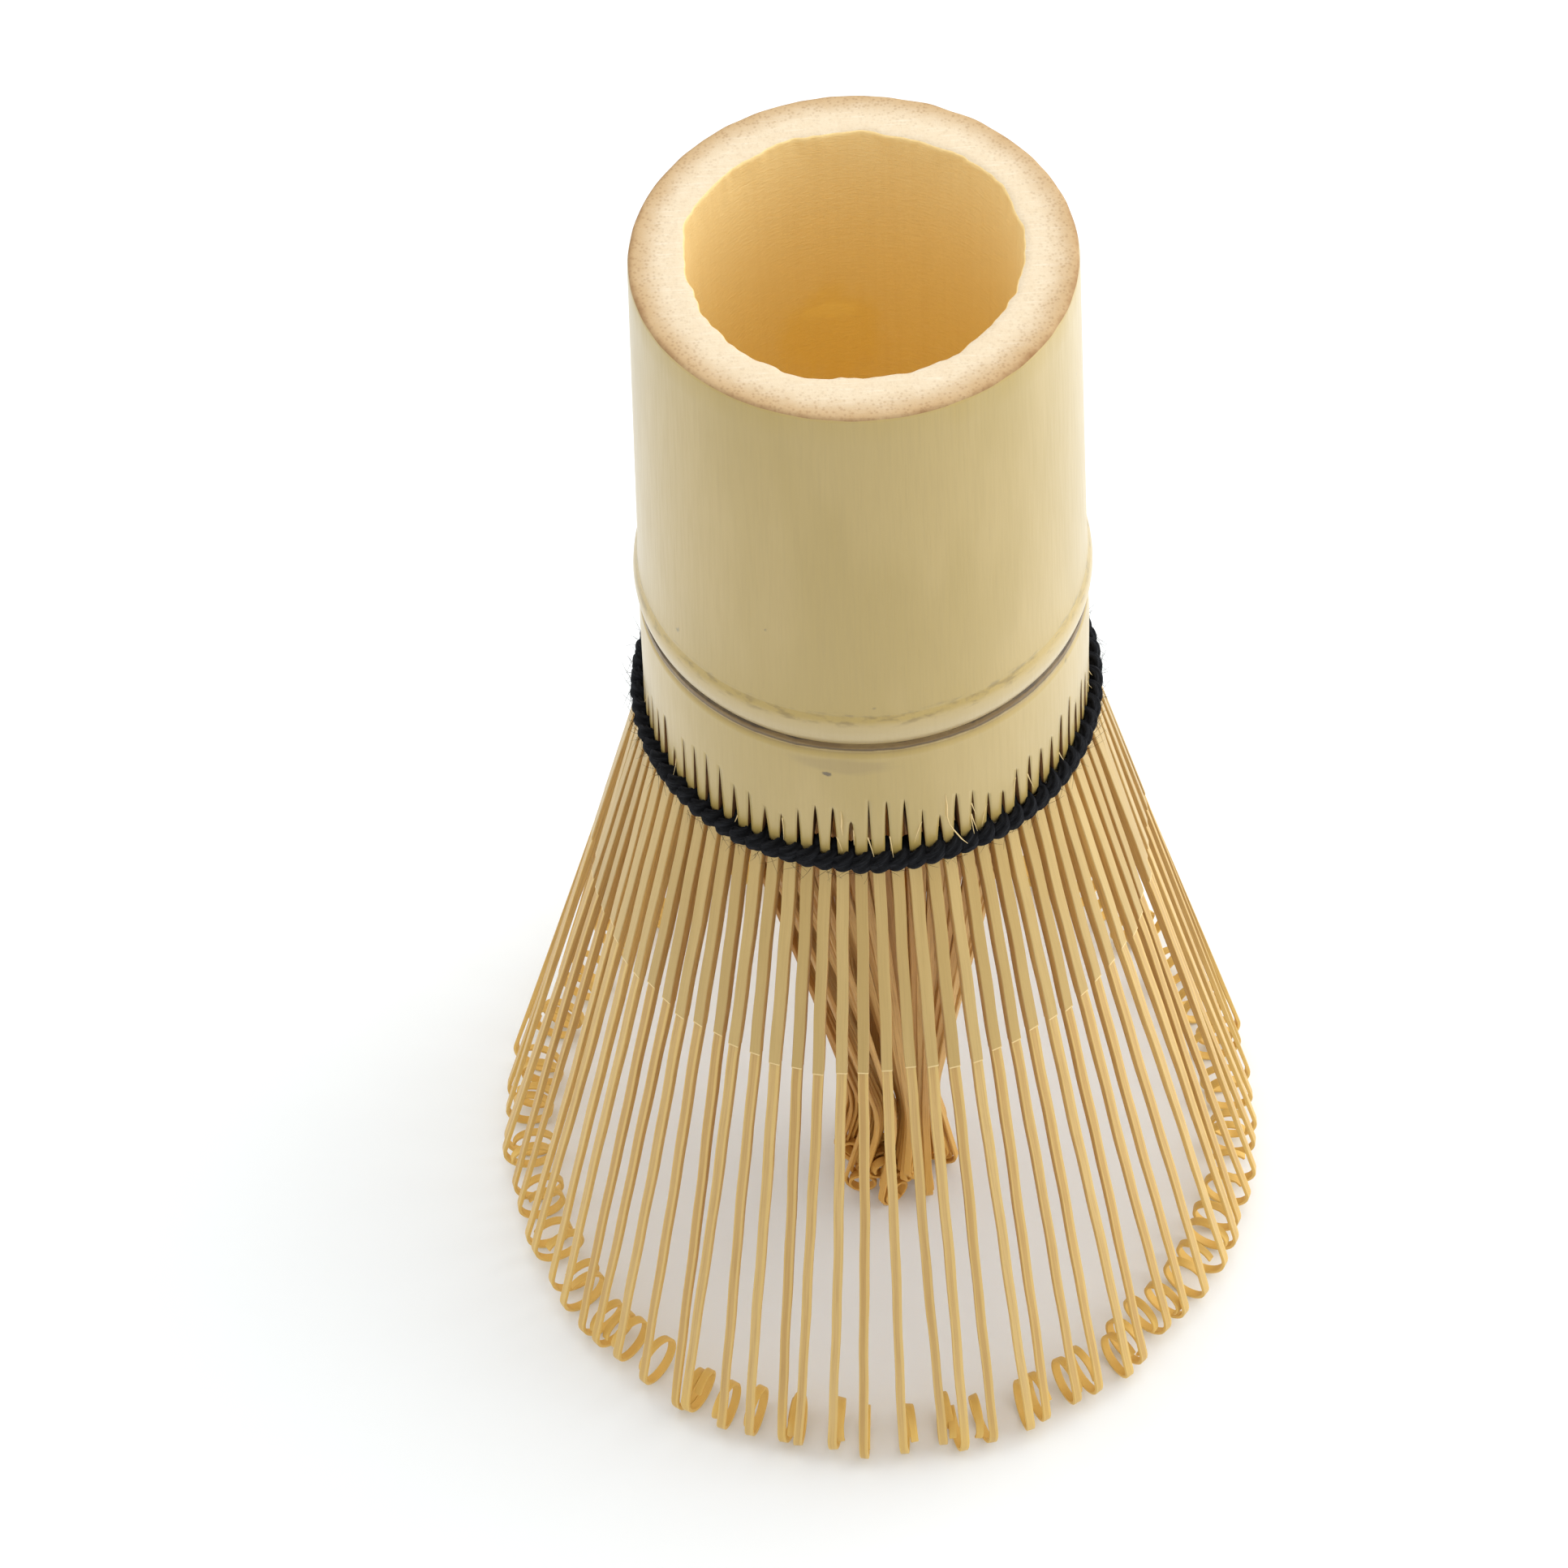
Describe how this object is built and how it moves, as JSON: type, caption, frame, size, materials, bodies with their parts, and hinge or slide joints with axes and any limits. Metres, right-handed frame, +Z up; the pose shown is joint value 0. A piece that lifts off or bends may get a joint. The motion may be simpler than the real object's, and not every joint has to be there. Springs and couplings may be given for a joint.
{
  "type": "bamboo tea whisk",
  "caption": "Hollow bamboo handle whose lower wall is split into a cage of curled springy tines round a gathered inner bundle, parted by a woven black cotton thread; whisks powdered tea.",
  "frame": {"origin": "centre of the circle of curled tine tips, on the surface they rest on", "axes": "+Z up the handle, away from the tips; +X and +Y across; the view with the inner bundle leaning nearer is from -Y"},
  "size_m": [0.0621, 0.0626, 0.105],
  "materials": {
    "bamboo_skin": "satin natural bamboo skin",
    "bamboo_septum": "matte inner bamboo",
    "outer_tine_bamboo": "satin split bamboo",
    "inner_tine_bamboo": "matte split bamboo",
    "cotton_thread": "matte dyed cotton"
  },
  "bodies": {
    "grip": {"handle_tube": "bamboo_skin", "node_ring": "bamboo_skin", "node_diaphragm": "bamboo_septum", "split_collar": "bamboo_skin", "thread_upper_turn": "cotton_thread", "thread_lower_turn": "cotton_thread", "thread_back_turn": "cotton_thread"},
    "outer_group_01": {"outer_tines_01": "outer_tine_bamboo"},
    "outer_group_02": {"outer_tines_02": "outer_tine_bamboo"},
    "outer_group_03": {"outer_tines_03": "outer_tine_bamboo"},
    "outer_group_04": {"outer_tines_04": "outer_tine_bamboo"},
    "outer_group_05": {"outer_tines_05": "outer_tine_bamboo"},
    "outer_group_06": {"outer_tines_06": "outer_tine_bamboo"},
    "outer_group_07": {"outer_tines_07": "outer_tine_bamboo"},
    "outer_group_08": {"outer_tines_08": "outer_tine_bamboo"},
    "outer_group_09": {"outer_tines_09": "outer_tine_bamboo"},
    "outer_group_10": {"outer_tines_10": "outer_tine_bamboo"},
    "outer_group_11": {"outer_tines_11": "outer_tine_bamboo"},
    "outer_group_12": {"outer_tines_12": "outer_tine_bamboo"},
    "outer_group_13": {"outer_tines_13": "outer_tine_bamboo"},
    "outer_group_14": {"outer_tines_14": "outer_tine_bamboo"},
    "outer_group_15": {"outer_tines_15": "outer_tine_bamboo"},
    "outer_group_16": {"outer_tines_16": "outer_tine_bamboo"},
    "outer_group_17": {"outer_tines_17": "outer_tine_bamboo"},
    "outer_group_18": {"outer_tines_18": "outer_tine_bamboo"},
    "outer_group_19": {"outer_tines_19": "outer_tine_bamboo"},
    "outer_group_20": {"outer_tines_20": "outer_tine_bamboo"},
    "inner_quarter_1": {"inner_tines_01": "inner_tine_bamboo", "inner_tines_02": "inner_tine_bamboo", "inner_tines_03": "inner_tine_bamboo", "inner_tines_04": "inner_tine_bamboo"},
    "inner_quarter_2": {"inner_tines_05": "inner_tine_bamboo", "inner_tines_06": "inner_tine_bamboo", "inner_tines_07": "inner_tine_bamboo", "inner_tines_08": "inner_tine_bamboo"},
    "inner_quarter_3": {"inner_tines_09": "inner_tine_bamboo", "inner_tines_10": "inner_tine_bamboo", "inner_tines_11": "inner_tine_bamboo", "inner_tines_12": "inner_tine_bamboo"},
    "inner_quarter_4": {"inner_tines_13": "inner_tine_bamboo", "inner_tines_14": "inner_tine_bamboo", "inner_tines_15": "inner_tine_bamboo", "inner_tines_16": "inner_tine_bamboo"}
  },
  "joints": [
    {"name": "outer_flex_01", "type": "hinge", "parent": "grip", "child": "outer_group_01", "pos_m": [0.01554, 0.00184, 0.06085], "axis": [0.1175, -0.9931, 0], "range_deg": [-4, 6], "stiffness_Nm_per_rad": 0.02},
    {"name": "outer_flex_02", "type": "hinge", "parent": "grip", "child": "outer_group_02", "pos_m": [0.01421, 0.00655, 0.06085], "axis": [0.4187, -0.9081, 0], "range_deg": [-4, 6], "stiffness_Nm_per_rad": 0.02},
    {"name": "outer_flex_03", "type": "hinge", "parent": "grip", "child": "outer_group_03", "pos_m": [0.01149, 0.01062, 0.06085], "axis": [0.6788, -0.7343, 0], "range_deg": [-4, 6], "stiffness_Nm_per_rad": 0.02},
    {"name": "outer_flex_04", "type": "hinge", "parent": "grip", "child": "outer_group_04", "pos_m": [0.00765, 0.01366, 0.06085], "axis": [0.8725, -0.4886, 0], "range_deg": [-4, 6], "stiffness_Nm_per_rad": 0.02},
    {"name": "outer_flex_05", "type": "hinge", "parent": "grip", "child": "outer_group_05", "pos_m": [0.00305, 0.01535, 0.06085], "axis": [0.9808, -0.1951, 0], "range_deg": [-4, 6], "stiffness_Nm_per_rad": 0.02},
    {"name": "outer_flex_06", "type": "hinge", "parent": "grip", "child": "outer_group_06", "pos_m": [-0.00184, 0.01554, 0.06085], "axis": [0.9931, 0.1175, 0], "range_deg": [-4, 6], "stiffness_Nm_per_rad": 0.02},
    {"name": "outer_flex_07", "type": "hinge", "parent": "grip", "child": "outer_group_07", "pos_m": [-0.00655, 0.01421, 0.06085], "axis": [0.9081, 0.4187, 0], "range_deg": [-4, 6], "stiffness_Nm_per_rad": 0.02},
    {"name": "outer_flex_08", "type": "hinge", "parent": "grip", "child": "outer_group_08", "pos_m": [-0.01062, 0.01149, 0.06085], "axis": [0.7343, 0.6788, 0], "range_deg": [-4, 6], "stiffness_Nm_per_rad": 0.02},
    {"name": "outer_flex_09", "type": "hinge", "parent": "grip", "child": "outer_group_09", "pos_m": [-0.01366, 0.00765, 0.06085], "axis": [0.4886, 0.8725, 0], "range_deg": [-4, 6], "stiffness_Nm_per_rad": 0.02},
    {"name": "outer_flex_10", "type": "hinge", "parent": "grip", "child": "outer_group_10", "pos_m": [-0.01535, 0.00305, 0.06085], "axis": [0.1951, 0.9808, 0], "range_deg": [-4, 6], "stiffness_Nm_per_rad": 0.02},
    {"name": "outer_flex_11", "type": "hinge", "parent": "grip", "child": "outer_group_11", "pos_m": [-0.01554, -0.00184, 0.06085], "axis": [-0.1175, 0.9931, 0], "range_deg": [-4, 6], "stiffness_Nm_per_rad": 0.02},
    {"name": "outer_flex_12", "type": "hinge", "parent": "grip", "child": "outer_group_12", "pos_m": [-0.01421, -0.00655, 0.06085], "axis": [-0.4187, 0.9081, 0], "range_deg": [-4, 6], "stiffness_Nm_per_rad": 0.02},
    {"name": "outer_flex_13", "type": "hinge", "parent": "grip", "child": "outer_group_13", "pos_m": [-0.01149, -0.01062, 0.06085], "axis": [-0.6788, 0.7343, 0], "range_deg": [-4, 6], "stiffness_Nm_per_rad": 0.02},
    {"name": "outer_flex_14", "type": "hinge", "parent": "grip", "child": "outer_group_14", "pos_m": [-0.00765, -0.01366, 0.06085], "axis": [-0.8725, 0.4886, 0], "range_deg": [-4, 6], "stiffness_Nm_per_rad": 0.02},
    {"name": "outer_flex_15", "type": "hinge", "parent": "grip", "child": "outer_group_15", "pos_m": [-0.00305, -0.01535, 0.06085], "axis": [-0.9808, 0.1951, 0], "range_deg": [-4, 6], "stiffness_Nm_per_rad": 0.02},
    {"name": "outer_flex_16", "type": "hinge", "parent": "grip", "child": "outer_group_16", "pos_m": [0.00184, -0.01554, 0.06085], "axis": [-0.9931, -0.1175, 0], "range_deg": [-4, 6], "stiffness_Nm_per_rad": 0.02},
    {"name": "outer_flex_17", "type": "hinge", "parent": "grip", "child": "outer_group_17", "pos_m": [0.00655, -0.01421, 0.06085], "axis": [-0.9081, -0.4187, 0], "range_deg": [-4, 6], "stiffness_Nm_per_rad": 0.02},
    {"name": "outer_flex_18", "type": "hinge", "parent": "grip", "child": "outer_group_18", "pos_m": [0.01062, -0.01149, 0.06085], "axis": [-0.7343, -0.6788, 0], "range_deg": [-4, 6], "stiffness_Nm_per_rad": 0.02},
    {"name": "outer_flex_19", "type": "hinge", "parent": "grip", "child": "outer_group_19", "pos_m": [0.01366, -0.00765, 0.06085], "axis": [-0.4886, -0.8725, 0], "range_deg": [-4, 6], "stiffness_Nm_per_rad": 0.02},
    {"name": "outer_flex_20", "type": "hinge", "parent": "grip", "child": "outer_group_20", "pos_m": [0.01535, -0.00305, 0.06085], "axis": [-0.1951, -0.9808, 0], "range_deg": [-4, 6], "stiffness_Nm_per_rad": 0.02},
    {"name": "inner_bloom_1", "type": "hinge", "parent": "grip", "child": "inner_quarter_1", "pos_m": [0.00947, 0.00876, 0.0662], "axis": [0.6788, -0.7343, 0], "range_deg": [0, 8], "stiffness_Nm_per_rad": 0.015},
    {"name": "inner_bloom_2", "type": "hinge", "parent": "grip", "child": "inner_quarter_2", "pos_m": [-0.00876, 0.00947, 0.0662], "axis": [0.7343, 0.6788, 0], "range_deg": [0, 8], "stiffness_Nm_per_rad": 0.015},
    {"name": "inner_bloom_3", "type": "hinge", "parent": "grip", "child": "inner_quarter_3", "pos_m": [-0.00947, -0.00876, 0.0662], "axis": [-0.6788, 0.7343, 0], "range_deg": [0, 8], "stiffness_Nm_per_rad": 0.015},
    {"name": "inner_bloom_4", "type": "hinge", "parent": "grip", "child": "inner_quarter_4", "pos_m": [0.00876, -0.00947, 0.0662], "axis": [-0.7343, -0.6788, 0], "range_deg": [0, 8], "stiffness_Nm_per_rad": 0.015}
  ]
}
